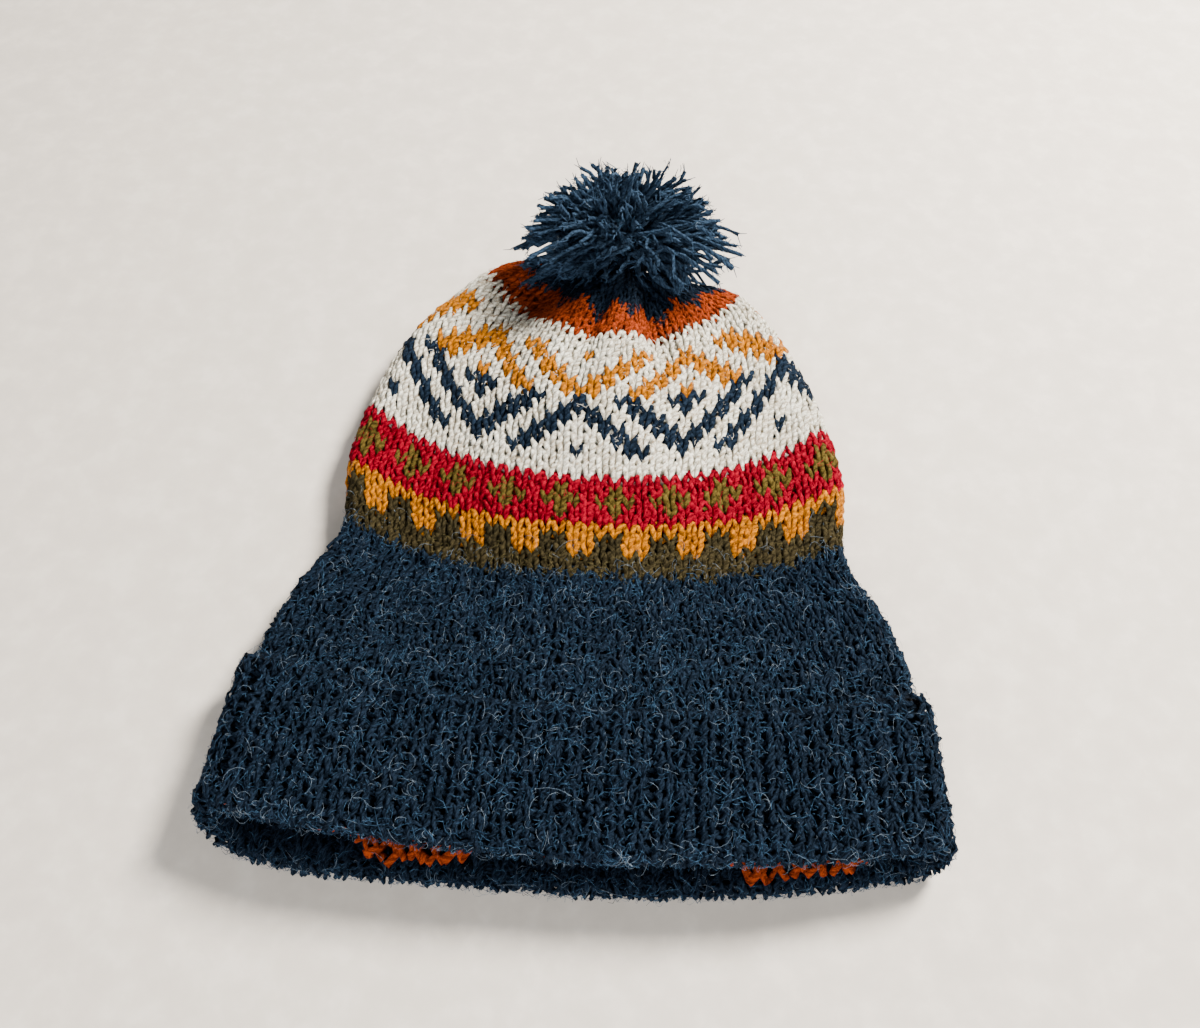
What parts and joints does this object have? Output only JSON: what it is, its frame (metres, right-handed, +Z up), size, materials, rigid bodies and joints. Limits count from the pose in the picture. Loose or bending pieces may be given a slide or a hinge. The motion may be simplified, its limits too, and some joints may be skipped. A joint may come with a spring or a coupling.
{
  "type": "bobble hat",
  "caption": "Knitted winter hat with a turned-up ribbed cuff, patterned bands, a gathered crown and a yarn pompom, lying flat on its back.",
  "frame": {"origin": "middle of the bounding box's bottom, on the surface that the hat lies on", "axes": "+X across the hat, +Y from the mouth towards the pompom, +Z up from the surface"},
  "size_m": [0.262, 0.3142, 0.0796],
  "materials": {
    "body_knit": "soft wool knit in navy with cream, gold, red, olive and rust bands",
    "cuff_knit": "hairy ribbed wool knit in navy",
    "lining_knit": "soft wool knit in rust orange",
    "pompom_yarn": "cut navy wool yarn"
  },
  "bodies": {
    "root": {"body": "body_knit", "cuff": "cuff_knit", "lining": "lining_knit", "pompom": "pompom_yarn"}
  },
  "joints": []
}
